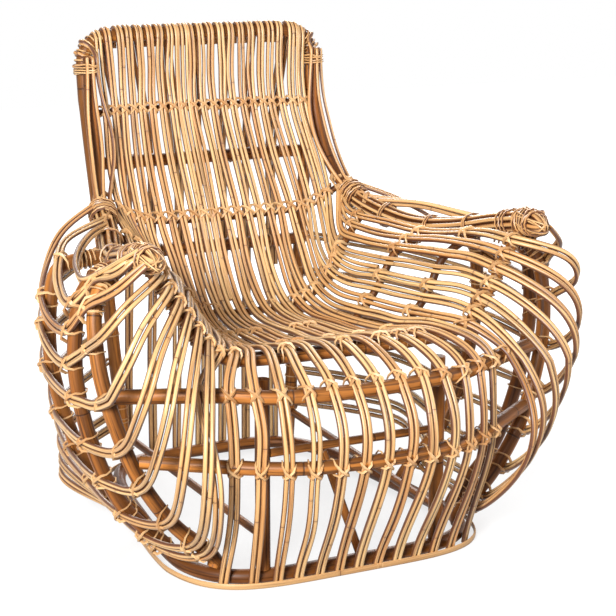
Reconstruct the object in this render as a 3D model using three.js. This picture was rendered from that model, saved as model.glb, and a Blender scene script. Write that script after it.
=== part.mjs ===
// Rattan lounge armchair: a frame of bent poles covered with a skin of thin canes laid in pairs.
// Millimetres, +Z up, the sitter faces -Y, so +X is the sitter's left. The floor is z = 0.
import * as THREE from "three";

// Thickness of the poles and canes, and the air left where two of them touch
const poleRadius = 12;
const armRadius = 11;
const crownRadius = 9;
const railRadius = 7;
const thinRailRadius = 6;
const caneRadius = 3.7;
const gap = 0.4;

// Base on the floor: a squarish oval that narrows to the rear, with a flat strip round it
const baseHalfWidth = 288;
const baseRearHalfWidth = 228;
const baseFront = -200;
const baseRear = 487;
const widestY = -60;
const squareness = 4.5;
const stripThickness = 4;
const stripHeight = 10;
const footEnd = 2;

// Back: rear legs, top rail and the rails lashed behind the skin
const backHeight = 818;
const topBow = 14;
const legSpread = 226;
const legFootX = 168;
const backRake = 39;
const topCornerDrop = 50;
const topCornerSlope = 18;
const topCornerReach = 42;
const backRowHeight = 685;
const rearRailHeights = { rear_rail_lower: 420, rear_rail_upper: 590 };

// Skin: strands counted from the middle, how many go over the top and down the front, their spacing
const strandsPerSide = 13;
const topStrandsPerSide = 10;
const frontStrandsPerSide = 6;
const rearRunEvery = 3;
const topEdge = 26;
const frontPitch = 40;
const basePitch = 35;
const rearPitch = 16;
const rowEdge = 22;
const crownStretch = 0.155;

// Side poles, and heights of the side canes on the front, middle and rear side pole and rear leg
const frontPoleFootY = -128;
const frontPoleLean = 60;
const frontPoleArmY = -66;
const middlePoleY = -40;
const middlePoleArmY = 0;
const rearPoleY = 120;
const sidePoleTop = 520;
const sidePoleHeights = [100, 150, 205, 280, 355, 425, 478];
const kneeHeight = 36;
const footRelief = 0.7;
const sideStrandHeights = [
  [50, 50, 56, 92],
  [70, 71, 80, 117],
  [112, 111, 116, 157],
  [172, 171, 174, 218],
  [234, 232, 238, 280],
  [310, 305, 318, 354],
  [400, 358, 385, 425],
];
const ribHeights = [
  [456, 410, 430, 532],
  [490, 448, 480, 510],
];
const ribTurns = [
  [330, 264, 510],
  [345, 200, 510],
];
const ribFirstY = -185;
const ribPitch = 34;
const turnInX = 345;
const turnInY = 290;

// Bulge of the front strands, and of the side canes round the front of the arm, from strand to strand
const bulgeForward = 26;
const bulgeFade = 1.1;
const lowerBulge = 20;
const lowerBulgeShare = 0.45;
const bulgeUp = 48;
const cornerFront = -285;
const cornerDraw = 2.4;
const cornerWiden = 50;
const cornerNarrow = 2;
const cornerRise = 20;
const swellOut = 10;
const swellOutMore = 1.6;
const swellFront = 45;
const swellFrontLess = 2.6;
const leanOut = 0.4;
const leanMore = 0.25;
const leanUp = 0.1;

// Lower frame: front rail, legs under the seat front, stretchers between the legs, strut in front
const frontLegX = 157;
const frontLegTop = 336;
const frontRailEnd = 322;
const stretcherHeight = 218;
const legStretcherHeight = 214;
const sideStretcherHeight = 78;
const strutTopX = -55;
const strutFootX = 16;

// Outer body: height, half width at the sides, reach to the front from the plan's centre
const bodyOutline = [
  [0, 280, 280],
  [25, 300, 288],
  [55, 327, 300],
  [100, 355, 315],
  [166, 395, 330],
  [230, 415, 345],
  [310, 435, 348],
  [400, 438, 366],
  [463, 424, 362],
  [530, 385, 360],
];

const rearDraw = 0.12;

// Fineness: largest bend in radians between two cuts of a pole, a rail and a cane
const poleTurn = 0.3;
const railTurn = 0.16;
const strandTurn = 0.5;
const baseCuts = 36;

const legTopY = baseRear - backRake;
const topPitch = (legSpread - topEdge) / topStrandsPerSide;
const planCentreY = (baseFront + baseRear) / 2;
const baseHalfDepth = (baseRear - baseFront) / 2;
const hoopInset = stripThickness + 3 * gap + 2 * caneRadius + poleRadius;
const hoopFlat = poleRadius * Math.cos(Math.PI / 8);
const laid = caneRadius + gap;

const colours = {
  pole: { color: 0xb07a45, roughness: 0.5, metalness: 0 },
  rail: { color: 0xa26a38, roughness: 0.55, metalness: 0 },
  cane: { color: 0xd9b27c, roughness: 0.42, metalness: 0 },
  strip: { color: 0xdcb884, roughness: 0.5, metalness: 0 },
};

const chair = new THREE.Group();
chair.name = "rattan_lounge_chair";
const sides = { left: 1, right: -1 };

function point(x, y, z) {
  return new THREE.Vector3(x, y, z);
}

function mirrored(p, side) {
  return point(p.x * side, p.y, p.z);
}

function smooth(points) {
  return new THREE.CatmullRomCurve3(points, false, "centripetal");
}

function addPiece(name, geometry, look) {
  const mesh = new THREE.Mesh(geometry, new THREE.MeshStandardMaterial(colours[look]));
  mesh.name = name;
  chair.add(mesh);
}

// Section outlines as [sideways, outward] pairs
function roundSection(radius, phase = 0) {
  return Array.from({ length: 8 }, (_, k) => {
    const turn = phase + (k * Math.PI) / 4;
    return [radius * Math.cos(turn), radius * Math.sin(turn)];
  });
}

function twinSection() {
  const r = caneRadius;
  const waist = 0.4 * r;
  return [
    [2 * r, 0],
    [r, r],
    [0, waist],
    [-r, r],
    [-2 * r, 0],
    [-r, -r],
    [0, -waist],
    [r, -r],
  ];
}

function flatSection(width, height) {
  return [
    [width / 2, -height / 2],
    [width / 2, height / 2],
    [-width / 2, height / 2],
    [-width / 2, -height / 2],
  ];
}

// Solid swept along stops: each stop has a place, a sideways and an outward direction
function sweep(stops, section, closed = false) {
  const n = section.length;
  const vertices = [];
  const index = [];
  for (const { at, side, out } of stops) {
    for (const [a, b] of section) {
      vertices.push(at.clone().addScaledVector(side, a).addScaledVector(out, b));
    }
  }
  const rings = closed ? stops.length : stops.length - 1;
  for (let i = 0; i < rings; i++) {
    const near = i * n;
    const far = ((i + 1) % stops.length) * n;
    for (let k = 0; k < n; k++) {
      const next = (k + 1) % n;
      index.push(near + k, near + next, far + next, near + k, far + next, far + k);
    }
  }
  if (!closed) {
    const last = (stops.length - 1) * n;
    const startMid = vertices.push(stops[0].at.clone()) - 1;
    const endMid = vertices.push(stops.at(-1).at.clone()) - 1;
    for (let k = 0; k < n; k++) {
      const next = (k + 1) % n;
      index.push(startMid, next, k, endMid, last + k, last + next);
    }
  }
  return facingOut(vertices, index);
}

function facingOut(vertices, index) {
  let volume = 0;
  for (let i = 0; i < index.length; i += 3) {
    const [a, b, c] = [0, 1, 2].map((k) => vertices[index[i + k]]);
    volume += a.dot(b.clone().cross(c));
  }
  if (volume < 0) index.reverse();
  const geometry = new THREE.BufferGeometry().setFromPoints(vertices);
  return geometry.setIndex(index);
}

// Places along a curve: every control point, and more where it turns
function placesAlong(path, largestTurn) {
  const spans = path.points.length - 1;
  const checks = 8;
  const places = [0];
  for (let k = 0; k < spans; k++) {
    let turn = 0;
    let before = path.getTangent(k / spans);
    for (let j = 1; j <= checks; j++) {
      const now = path.getTangent((k + j / checks) / spans);
      turn += before.angleTo(now);
      before = now;
    }
    const steps = Math.max(1, Math.ceil(turn / largestTurn));
    for (let j = 1; j <= steps; j++) places.push((k + j / steps) / spans);
  }
  return places;
}

// A bent pole's axis as straight lengths, and its heading where two of them meet
function bent(points) {
  const path = smooth(points);
  return placesAlong(path, poleTurn).map((t) => path.getPoint(t));
}

function headingAt(line, k) {
  const heading = point(0, 0, 0);
  if (k > 0) heading.add(line[k].clone().sub(line[k - 1]).normalize());
  if (k < line.length - 1) heading.add(line[k + 1].clone().sub(line[k]).normalize());
  return heading.normalize();
}

function stopAt(at, along, sideHint) {
  const side = sideHint.clone().addScaledVector(along, -sideHint.dot(along)).normalize();
  return { at, side, out: along.clone().cross(side).normalize() };
}

function poleSolid(line, radius, sideHint) {
  const stops = line.map((at, k) => stopAt(at, headingAt(line, k), sideHint));
  return sweep(stops, roundSection(radius));
}

function addPole(name, line, radius, sideHint, look = "pole") {
  addPiece(name, poleSolid(line, radius, sideHint), look);
}

// Place and direction on a line where one coordinate has a given value
function whereOn(line, axis, value) {
  const end = line.findIndex(
    (p, k) => k > 0 && (line[k - 1][axis] - value) * (p[axis] - value) <= 0,
  );
  const [from, to] = [line[end - 1], line[end]];
  const share = (value - from[axis]) / (to[axis] - from[axis]);
  return { place: from.clone().lerp(to, share), along: to.clone().sub(from).normalize() };
}

// End of a pole that butts against another one, set back so that its flat end clears it
function butt(onto, radius, from, ownRadius) {
  const away = from.clone().sub(onto.place).normalize();
  const slant = Math.abs(away.dot(onto.along));
  const reach = (radius + gap + ownRadius * slant) / Math.sqrt(1 - slant * slant);
  return onto.place.clone().addScaledVector(away, reach);
}

// Base plan: cuts of the oval, and places on the hoop
function ovalLine(inset, z) {
  const bend = (v) => Math.sign(v) * Math.abs(v) ** (2 / squareness);
  return Array.from({ length: baseCuts }, (_, k) => {
    const turn = (2 * Math.PI * (k + 0.5)) / baseCuts;
    const y = planCentreY - (baseHalfDepth - inset) * bend(Math.cos(turn));
    const back = Math.max(0, (y - widestY) / (baseRear - widestY));
    const half = baseHalfWidth + back * (baseRearHalfWidth - baseHalfWidth);
    return point((half - inset) * bend(Math.sin(turn)), y, z);
  });
}

function ovalStops(inset, z) {
  const line = ovalLine(inset, z);
  return line.map((at, k) => {
    const around = [line.at(k - 1), at, line[(k + 1) % baseCuts]];
    return stopAt(at, headingAt(around, 1), point(0, 0, 1));
  });
}

const hoopLine = ovalLine(hoopInset, hoopFlat);
const hoopSide = hoopLine.slice(0, baseCuts / 2);
function hoopAt(x, front) {
  const closed = [hoopLine.at(-1), ...hoopLine];
  const half = closed.filter((p) => p.y < planCentreY === front);
  half.sort((a, b) => a.x - b.x);
  return whereOn(half, "x", x);
}

addPiece(
  "base_hoop",
  sweep(ovalStops(hoopInset, hoopFlat), roundSection(poleRadius, Math.PI / 8), true),
  "pole",
);
addPiece(
  "base_edge_strip",
  sweep(
    ovalStops(stripThickness / 2, stripHeight / 2),
    flatSection(stripHeight, stripThickness),
    true,
  ),
  "strip",
);

// Outer body that the side canes follow
function ovalY(x, halfWidth, halfDepth) {
  const rest = 1 - Math.abs(x / halfWidth) ** squareness;
  return halfDepth * Math.max(rest, 0) ** (1 / squareness);
}

function bodyAt(z) {
  const k = Math.max(1, bodyOutline.findIndex((row) => row[0] >= z));
  const [low, high] = [bodyOutline[k - 1], bodyOutline[k]];
  const share = (z - low[0]) / (high[0] - low[0]);
  return {
    halfWidth: low[1] + share * (high[1] - low[1]),
    reach: low[2] + share * (high[2] - low[2]),
  };
}

function bodySide(y, z) {
  const { halfWidth, reach } = bodyAt(z);
  const drawnIn = rearDraw * Math.max(y, 0);
  return ovalY(Math.min(y - planCentreY, 0), reach, halfWidth) - drawnIn;
}

// Back hoop: rear legs and top rail in one bent pole
const rearFoot = hoopAt(legFootX, false);
const legTop = point(legSpread, legTopY, backHeight - topCornerDrop);
const legFoot = butt(rearFoot, poleRadius, legTop, poleRadius);
const rearLeg = [legFoot, legTop];
function topRailAt(x, drop) {
  return point(x, legTopY + topBow * (1 - (x / legSpread) ** 2), backHeight - drop);
}
const halfTop = [
  legFoot,
  legFoot.clone().lerp(legTop, 0.5),
  legTop,
  topRailAt(legSpread - topCornerReach / 4, topCornerSlope),
  topRailAt(legSpread - topCornerReach, topCornerSlope / 8),
  topRailAt(legSpread / 2, 0),
];
const backLine = bent([
  ...halfTop.map((p) => mirrored(p, -1)),
  topRailAt(0, 0),
  ...halfTop.reverse(),
]);
addPole("back_hoop", backLine, poleRadius, point(0, 1, 0));

// Arm poles: down the edges of the back, then forward as the tops of the arms
const armLine = bent([
  point(222, legTopY - 24, 786),
  point(222, legTopY - 25, 690),
  point(226, legTopY - 58, 602),
  point(240, legTopY - 120, 534),
  point(256, 250, 505),
  point(285, 150, 488),
  point(313, 50, 497),
  point(333, -70, 524),
  point(337, -150, 537),
  point(333, -205, 526),
]);
for (const [name, side] of Object.entries(sides)) {
  const line = armLine.map((p) => mirrored(p, side));
  addPole("arm_pole_" + name, line, armRadius, point(1, 0, 0));
}

// Spacing of the strands on a rail, as distances from its middle
function evenly(i, reach) {
  return (i * (reach - rowEdge)) / strandsPerSide;
}

function evenlyAbove(i, reach) {
  return (i * (reach - rowEdge)) / topStrandsPerSide;
}

function widerInside(i, reach) {
  const share = Math.abs(i) / strandsPerSide;
  const grown = (1 + crownStretch) * share - crownStretch * share * share;
  return Math.sign(i) * (reach - rowEdge) * grown;
}

function pitched(pitch) {
  return (i) => i * pitch;
}

// A rail drawn from the middle to its end, bent only between strands so that each lies on a
// straight length
function row(name, radius, look, half, spacing, strands = strandsPerSide) {
  const outline = half.map((p) => (p.isVector3 ? p : point(...p)));
  const rest = outline.slice(1).map((p) => mirrored(p, -1));
  const path = smooth([...rest.reverse(), ...outline]);
  const reach = path.getLength() / 2;
  const share = (distance) => 0.5 + distance / (2 * reach);
  const cuts = [];
  let heading = path.getTangentAt(share(0));
  for (let i = 0; i < strands; i++) {
    const cut = (spacing(i, reach) + spacing(i + 1, reach)) / 2;
    const now = path.getTangentAt(share(cut));
    if (heading.angleTo(now) < railTurn) continue;
    cuts.push(cut);
    heading = now;
  }
  cuts.push(reach);
  const marks = [...cuts.map((cut) => -cut).reverse(), ...cuts];
  const line = marks.map((mark) => path.getPointAt(share(mark)));
  addPole(name, line, radius, point(0, 1, 0), look);
  return { marks, line, radius, reach, spacing };
}

function onArm(axis, value, from, ownRadius) {
  return butt(whereOn(armLine, axis, value), armRadius, point(...from), ownRadius);
}

const backRow = row(
  "back_rail",
  thinRailRadius,
  "rail",
  [
    [0, legTopY + 2, backRowHeight],
    [120, legTopY - 1, backRowHeight],
    onArm("z", backRowHeight, [120, legTopY - 1, backRowHeight], thinRailRadius),
  ],
  pitched(topPitch),
  topStrandsPerSide,
);
const lumbarY = legTopY - 107;
const lumbarRow = row(
  "lumbar_rail",
  thinRailRadius,
  "rail",
  [
    [0, lumbarY, 491],
    [120, lumbarY, 493],
    [185, lumbarY, 507],
    onArm("y", lumbarY - thinRailRadius, [185, lumbarY, 507], thinRailRadius),
  ],
  evenlyAbove,
  topStrandsPerSide,
);
const creaseRow = row(
  "crease_rail",
  railRadius,
  "rail",
  [
    [0, 241, 339],
    [92, 229, 348],
    [155, 228, 386],
    [192, 232, 452],
    onArm("y", 262, [192, 232, 452], railRadius),
  ],
  evenly,
);
const rearSeatRow = row(
  "seat_rail_rear",
  railRadius,
  "rail",
  [
    [0, 90, 324],
    [118, 90, 330],
    [176, 90, 384],
    [214, 90, 450],
    onArm("y", 90, [214, 90, 450], railRadius),
  ],
  evenly,
);
const frontSeatRow = row(
  "seat_rail_front",
  railRadius,
  "rail",
  [
    [0, -30, 335],
    [140, -30, 340],
    [204, -30, 390],
    [242, -30, 462],
    onArm("y", -30, [242, -30, 462], railRadius),
  ],
  evenly,
);
const crownRow = row(
  "crown_rail",
  crownRadius,
  "pole",
  [
    [0, -140, 350],
    [145, -138, 354],
    [230, -138, 378],
    [282, -136, 452],
    onArm("y", -134, [282, -136, 452], crownRadius),
  ],
  widerInside,
);
// Rear rails between the rear legs
const rearRows = Object.entries(rearRailHeights).map(([name, z]) => {
  const leg = whereOn(rearLeg, "z", z);
  const middle = [0, leg.place.y + topBow, z];
  const inner = [legSpread / 2, leg.place.y + 0.75 * topBow, z];
  const end = butt(leg, poleRadius, point(...inner), poleRadius);
  return row(name, poleRadius, "pole", [middle, inner, end], pitched(rearPitch), topStrandsPerSide);
});

// Side poles: follow the body under the side canes, from the base hoop up to the arm pole
const inset = poleRadius + laid;
function frontPoleY(z) {
  return frontPoleFootY + frontPoleLean * (z / sidePoleTop) ** 3;
}
function sidePole(yAt, armY) {
  const outline = sidePoleHeights.map((z) => point(bodySide(yAt(z), z) - inset, yAt(z), z));
  const foot = whereOn(hoopSide, "y", yAt(0));
  const kneeX = (foot.place.x + bodySide(yAt(kneeHeight), kneeHeight) - inset) / 2;
  const knee = point(kneeX, yAt(kneeHeight), kneeHeight);
  const arm = whereOn(armLine, "y", armY);
  return bent([
    butt(foot, poleRadius + footRelief, knee, poleRadius),
    knee,
    ...outline,
    butt(arm, armRadius, outline.at(-1), poleRadius),
  ]);
}
const sidePoles = {
  front: sidePole(frontPoleY, frontPoleArmY),
  middle: sidePole(() => middlePoleY, middlePoleArmY),
  rear: sidePole(() => rearPoleY, rearPoleY),
};
for (const [name, side] of Object.entries(sides)) {
  for (const [place, line] of Object.entries(sidePoles)) {
    const turned = line.map((p) => mirrored(p, side));
    addPole(`side_pole_${place}_${name}`, turned, poleRadius, point(0, 1, 0));
  }
}

// Front rail under the seat edge, bowed to the front between the front side poles
const railBow = point(220, -209, 328);
const frontRow = row(
  "front_rail",
  poleRadius,
  "pole",
  [
    [0, -256, 322],
    [120, -246, 323],
    railBow,
    butt(whereOn(sidePoles.front, "z", frontRailEnd), poleRadius, railBow, poleRadius),
  ],
  pitched(frontPitch),
  frontStrandsPerSide + 1,
);

// Middle stretcher, bowed in the same way
const bowEnd = point(240, -212, stretcherHeight);
const stretcherRow = row(
  "middle_stretcher",
  armRadius,
  "pole",
  [
    [0, -287, stretcherHeight],
    [130, -270, stretcherHeight],
    bowEnd,
    butt(whereOn(sidePoles.front, "z", stretcherHeight), poleRadius, bowEnd, armRadius),
  ],
  pitched(frontPitch),
  frontStrandsPerSide,
);

// Front legs stand on the base hoop, with a straight stretcher between them and one to each rear leg
const frontFoot = hoopAt(frontLegX, true);
const frontHead = point(frontLegX, frontFoot.place.y, frontLegTop);
const frontLeg = [butt(frontFoot, poleRadius, frontHead, poleRadius), frontHead];
const stretcherEnd = butt(
  whereOn(frontLeg, "z", legStretcherHeight),
  poleRadius,
  point(0, frontHead.y, legStretcherHeight),
  railRadius,
);
const legStretcher = [mirrored(stretcherEnd, -1), stretcherEnd];
addPole("leg_stretcher", legStretcher, railRadius, point(0, 1, 0));
const legLow = whereOn(frontLeg, "z", sideStretcherHeight);
const rearLow = whereOn(rearLeg, "z", sideStretcherHeight);
const sideStretcher = [
  butt(legLow, poleRadius, rearLow.place, railRadius),
  butt(rearLow, poleRadius, legLow.place, railRadius),
];
for (const [name, side] of Object.entries(sides)) {
  const turn = (line) => line.map((p) => mirrored(p, side));
  addPole("front_leg_" + name, turn(frontLeg), poleRadius, point(1, 0, 0));
  addPole("side_stretcher_" + name, turn(sideStretcher), railRadius, point(1, 0, 0));
}

// Strut from the leg stretcher down to the front of the base hoop
const strutTop = whereOn(legStretcher, "x", strutTopX);
const strutFoot = hoopAt(strutFootX, true);
const strut = [
  butt(strutTop, railRadius, strutFoot.place, railRadius),
  butt(strutFoot, poleRadius, strutTop.place, railRadius),
];
addPole("inner_strut", strut, railRadius, point(0, 1, 0));

// A strand or rib: stations are poles it crosses (axis and radius) or free places (sideways)
function crossing(at, axis, radius) {
  return { at, axis, radius };
}

function free(at, axis) {
  return { at, axis, radius: 0 };
}

function onRow({ marks, line, radius, reach, spacing }, i) {
  const mark = spacing(i, reach);
  const end = marks.findIndex((m) => m >= mark);
  const share = (mark - marks[end - 1]) / (marks[end] - marks[end - 1]);
  const axis = line[end].clone().sub(line[end - 1]).normalize();
  return crossing(line[end - 1].clone().lerp(line[end], share), axis, radius);
}

// Moves a cane off a pole it crosses, wherever a straight length of it would cut in
function keepClear(line, { at, axis, radius }) {
  const nearby = 5 * poleRadius;
  for (let k = 1; k < line.length; k++) {
    const start = line[k - 1].clone().sub(at);
    const step = line[k].clone().sub(line[k - 1]);
    const flatStart = start.clone().addScaledVector(axis, -start.dot(axis));
    const flatStep = step.clone().addScaledVector(axis, -step.dot(axis));
    const share = THREE.MathUtils.clamp(-flatStart.dot(flatStep) / flatStep.lengthSq(), 0, 1);
    if (start.addScaledVector(step, share).length() > nearby) continue;
    const nearest = flatStart.addScaledVector(flatStep, share);
    const short = radius + laid - nearest.length();
    if (short <= 0) continue;
    nearest.normalize().multiplyScalar(short);
    line[k - 1].add(nearest);
    line[k].add(nearest);
  }
}

function caneSolid(stations) {
  const last = stations.length - 1;
  let path = smooth(stations.map((s) => s.at));
  for (let pass = 0; pass < 4; pass++) {
    const places = stations.map(({ at, axis, radius }, k) => {
      if (!radius) return at;
      const out = path.getTangent(k / last).cross(axis).normalize();
      return at.clone().addScaledVector(out, radius + laid);
    });
    path = smooth(places);
  }
  const places = placesAlong(path, strandTurn);
  const line = places.map((t) => path.getPoint(t));
  for (let pass = 0; pass < 6; pass++) {
    for (const station of stations) {
      if (station.radius) keepClear(line, station);
    }
  }
  const stops = line.map((at, n) => {
    const k = Math.min(Math.floor(places[n] * last + 1e-6), last - 1);
    const hint = stations[k].axis.clone().lerp(stations[k + 1].axis, places[n] * last - k);
    return stopAt(at, headingAt(line, n), hint);
  });
  return sweep(stops, twinSection());
}

// Lower end of a strand, pressed against the outside of the base hoop behind the strip
function footStations(x, front) {
  const { place, along } = hoopAt(x, front);
  const out = point(along.y, -along.x, 0).multiplyScalar(front ? 1 : -1);
  const at = place.clone().addScaledVector(out, poleRadius + laid);
  const above = stripHeight + 2 * caneRadius;
  const heights = [above, (above + footEnd) / 2, footEnd];
  if (!front) heights.reverse();
  return heights.map((z) => free(point(at.x, at.y, z), along));
}

// Turn of a strand over the top rail, from the rear to the front
const topLine = backLine.filter((p) => p.z > legTop.z);
function topTurn(x) {
  const reach = (poleRadius + laid) / Math.cos(Math.PI / 8);
  const { place, along } = whereOn(topLine, "x", x);
  return [0, 1, 2, 3, 4].map((k) => {
    const turn = (k * Math.PI) / 4;
    const out = point(0, Math.cos(turn), Math.sin(turn)).multiplyScalar(reach);
    return free(place.clone().add(out), along);
  });
}

function rearRun(i) {
  if (i % rearRunEvery === 0) {
    return [...footStations(i * rearPitch, false), ...rearRows.map((rail) => onRow(rail, i))];
  }
  const end = topTurn(i * topPitch)[0].at.clone();
  end.z -= 2 * poleRadius;
  return [free(end, point(1, 0, 0))];
}

// Strands beyond the top ones start a little behind the crease rail
function armStart(i) {
  const [crease, next] = [creaseRow, rearSeatRow].map((rail) => onRow(rail, i));
  const along = next.at.clone().sub(crease.at).normalize();
  const out = along.clone().cross(crease.axis).normalize();
  const at = crease.at.clone().addScaledVector(along, -railRadius);
  return [free(at.addScaledVector(out, railRadius + laid), crease.axis)];
}

function upToCrown(i) {
  const seatRails = [creaseRow, rearSeatRow, frontSeatRow, crownRow];
  const seat = seatRails.map((rail) => onRow(rail, i));
  if (Math.abs(i) > topStrandsPerSide) return [...armStart(i), ...seat];
  const back = [backRow, lumbarRow].map((rail) => onRow(rail, i));
  return [...rearRun(i), ...topTurn(i * topPitch), ...back, ...seat];
}

// Front strands: over the front rail, out to the bulge, in at the stretcher and down to the base
function frontStrand(i) {
  const low = onRow(stretcherRow, i);
  const fade = 1 - bulgeFade * (i / (frontStrandsPerSide + 1)) ** 2;
  const bulge = low.at.clone().add(point(0, -bulgeForward * fade, bulgeUp));
  const foot = footStations(i * basePitch, true);
  const belly = low.at.clone().lerp(foot[0].at, lowerBulgeShare);
  belly.y -= lowerBulge;
  return [
    ...upToCrown(i),
    onRow(frontRow, i),
    free(bulge, low.axis),
    low,
    free(belly, low.axis),
    ...foot,
  ];
}

function overSidePoles([frontZ, middleZ, rearZ]) {
  return [
    whereOn(sidePoles.front, "z", frontZ),
    whereOn(sidePoles.middle, "z", middleZ),
    whereOn(sidePoles.rear, "z", rearZ),
  ].map(({ place, along }) => crossing(place, along, poleRadius));
}

// Rear part of a side strand: over the side poles and on to the rear leg
function alongSide(heights) {
  const [rearZ, legZ] = heights.slice(2);
  const leg = whereOn(rearLeg, "z", legZ);
  const turnIn = point(turnInX, turnInY, (rearZ + legZ) / 2);
  const out = point(0.8, 0.6, 0);
  const end = leg.place.clone().addScaledVector(out, poleRadius + laid);
  return [...overSidePoles(heights), free(turnIn, point(0, 0, 1)), free(end, leg.along)];
}

function sideStation({ at, axis, radius }, side) {
  const turned = mirrored(axis, side).multiplyScalar(side);
  return { at: mirrored(at, side), axis: turned, radius };
}

// Places of a cane that bulges round the front of the arm, from a start to the front side pole
function roundTheArm(start, end, bulge, swell) {
  const middle = start.clone().lerp(bulge, 0.5).add(swell);
  const low = bulge.clone().lerp(end, 0.5).add(swell);
  const places = [start, middle, bulge, low, end];
  return places.slice(1, -1).map((at, k) => {
    const along = places[k + 2].clone().sub(places[k]);
    const outward = point(leanOut + leanMore * k, -1, leanUp);
    return free(at, outward.cross(along).normalize());
  });
}

// A strand that turns round the front of the arm and runs back along the side
function sideStrand(i) {
  const k = i - frontStrandsPerSide - 1;
  const along = alongSide(sideStrandHeights[k]);
  const start = onRow(crownRow, i).at;
  const end = along[0].at;
  const bulge = start.clone().lerp(end, 0.5);
  bulge.x += cornerWiden - cornerNarrow * k;
  bulge.y = cornerFront + cornerDraw * k * k;
  bulge.z += cornerRise;
  const swell = point(swellOut + swellOutMore * k, swellFrontLess * k - swellFront, 0);
  const round = roundTheArm(start, end, bulge, swell);
  if (k === 0) round[0] = onRow(frontRow, i);
  return [...upToCrown(i), ...round, ...along];
}

function signed(i) {
  return (i < 0 ? "right_" : "left_") + Math.abs(i);
}

for (let i = -frontStrandsPerSide; i <= frontStrandsPerSide; i++) {
  const name = i === 0 ? "middle" : signed(i);
  addPiece("strand_" + name, caneSolid(frontStrand(i)), "cane");
}
for (let i = frontStrandsPerSide + 1; i <= strandsPerSide; i++) {
  for (const side of Object.values(sides)) {
    const stations = sideStrand(i).map((s) => sideStation(s, side));
    addPiece("strand_" + signed(side * i), caneSolid(stations), "cane");
  }
}

// Side ribs: from the front of the arm pole over the side poles, then up and over the arm pole
// where it meets the back
const ribStartTurn = THREE.MathUtils.degToRad(20);
const ribSwell = point(16, -32, 6);
function rib(k) {
  const { place, along } = whereOn(armLine, "y", ribFirstY + k * ribPitch);
  const reach = (armRadius + laid) / Math.cos(Math.PI / 8);
  const out = point(Math.cos(ribStartTurn), 0, Math.sin(ribStartTurn)).multiplyScalar(reach);
  const start = place.clone().add(out);
  const over = overSidePoles(ribHeights[k]);
  const shoulder = start.clone().lerp(over[0].at, 0.5).add(ribSwell);
  const knot = whereOn(armLine, "z", ribHeights[k][3]);
  return [
    free(start, along.clone().negate()),
    free(shoulder, point(0, 0.6, 0.8)),
    ...over,
    free(point(...ribTurns[k]), point(-0.6, -0.7, 0)),
    crossing(knot.place, knot.along, armRadius),
  ];
}

// Canes that lie along the top of each arm pole
const armCaneStartY = 225;
const armCaneEndY = -20;
function armCanes(side) {
  const ends = [armCaneStartY, armCaneEndY].map((y) => whereOn(armLine, "y", y).place);
  const between = armLine.filter((p) => p.y < armCaneStartY - 1 && p.y > armCaneEndY + 1);
  const axis = [ends[0], ...between, ends[1]];
  const height = armRadius - caneRadius * Math.tan(Math.PI / 8) + laid;
  const stops = axis.map((at, k) => {
    const stop = stopAt(at.clone(), headingAt(axis, k), point(1, 0, 0));
    stop.at.addScaledVector(stop.out, height / Math.cos(poleTurn / 2));
    return stop;
  });
  const turned = stops.map(({ at, side: across, out }) => ({
    at: mirrored(at, side),
    side: mirrored(across, side),
    out: mirrored(out, side),
  }));
  return sweep(turned, twinSection());
}

for (const [name, side] of Object.entries(sides)) {
  ribHeights.forEach((_, k) => {
    const stations = rib(k).map((s) => sideStation(s, side));
    addPiece(`rib_${name}_${k + 1}`, caneSolid(stations), "cane");
  });
  addPiece("arm_canes_" + name, armCanes(side), "cane");
}

// The origin is the middle of the bounding box, on the floor
const box = new THREE.Box3().setFromObject(chair);
const middleY = (box.min.y + box.max.y) / 2;
for (const mesh of chair.children) mesh.geometry.translate(0, -middleY, 0);

export default chair;
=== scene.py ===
import bmesh
import bpy
import itertools
import math
import random
from mathutils import Matrix, Vector


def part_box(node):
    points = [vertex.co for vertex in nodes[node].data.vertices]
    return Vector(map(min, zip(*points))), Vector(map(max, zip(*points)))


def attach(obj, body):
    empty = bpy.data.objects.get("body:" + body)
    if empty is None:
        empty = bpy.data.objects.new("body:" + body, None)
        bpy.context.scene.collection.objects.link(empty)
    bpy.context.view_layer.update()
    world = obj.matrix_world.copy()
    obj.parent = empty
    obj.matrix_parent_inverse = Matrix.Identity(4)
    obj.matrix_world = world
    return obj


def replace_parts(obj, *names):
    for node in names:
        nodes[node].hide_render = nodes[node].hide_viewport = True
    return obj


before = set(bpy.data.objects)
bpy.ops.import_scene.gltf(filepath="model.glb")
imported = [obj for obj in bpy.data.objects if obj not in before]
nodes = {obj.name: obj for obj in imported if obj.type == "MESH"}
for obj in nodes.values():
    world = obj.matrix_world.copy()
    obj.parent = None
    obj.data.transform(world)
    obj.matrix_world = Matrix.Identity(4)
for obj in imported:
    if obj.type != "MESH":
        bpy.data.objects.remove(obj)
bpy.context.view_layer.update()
dice = random.Random(23)
print("frame loaded,", len(nodes), "solids")

# materials: one group for the fibre pattern and the painted side shade, shared by canes, poles, strips and
# ties
fibreInputs = {"Pale": "Color", "Warm": "Color", "Dark": "Color", "Ring spacing": "Float",
               "Ring width": "Float", "Streaks": "Float", "Sides": "Float"}
fibreOutputs = {"Color": "Color", "Roughness": "Float", "Height": "Float"}
fibreLook = {"toneShift": 41.0, "ringRandom": 0.75, "ringEdge": (1.4, 0.3), "haloEdge": (9.0, 1.0),
             "ringShare": 0.85, "haloShare": 0.16, "streakAlong": 4.0, "streakAround": 1.5,
             "streakNoise": (1.6, 4.0, 0.62), "streakEdge": (0.45, 0.68), "driftAlong": 2.6,
             "driftAround": 0.35, "driftNoise": (1.0, 2.0, 0.5), "driftShare": 0.75, "toneShare": 0.26,
             "warmEdge": (0.2, 0.85), "sideEdge": (0.2, 0.88), "roughness": (0.34, 0.62), "ringDepth": -0.7,
             "streakDepth": 0.5}  # each noise has a scale, a detail and a roughness
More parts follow.
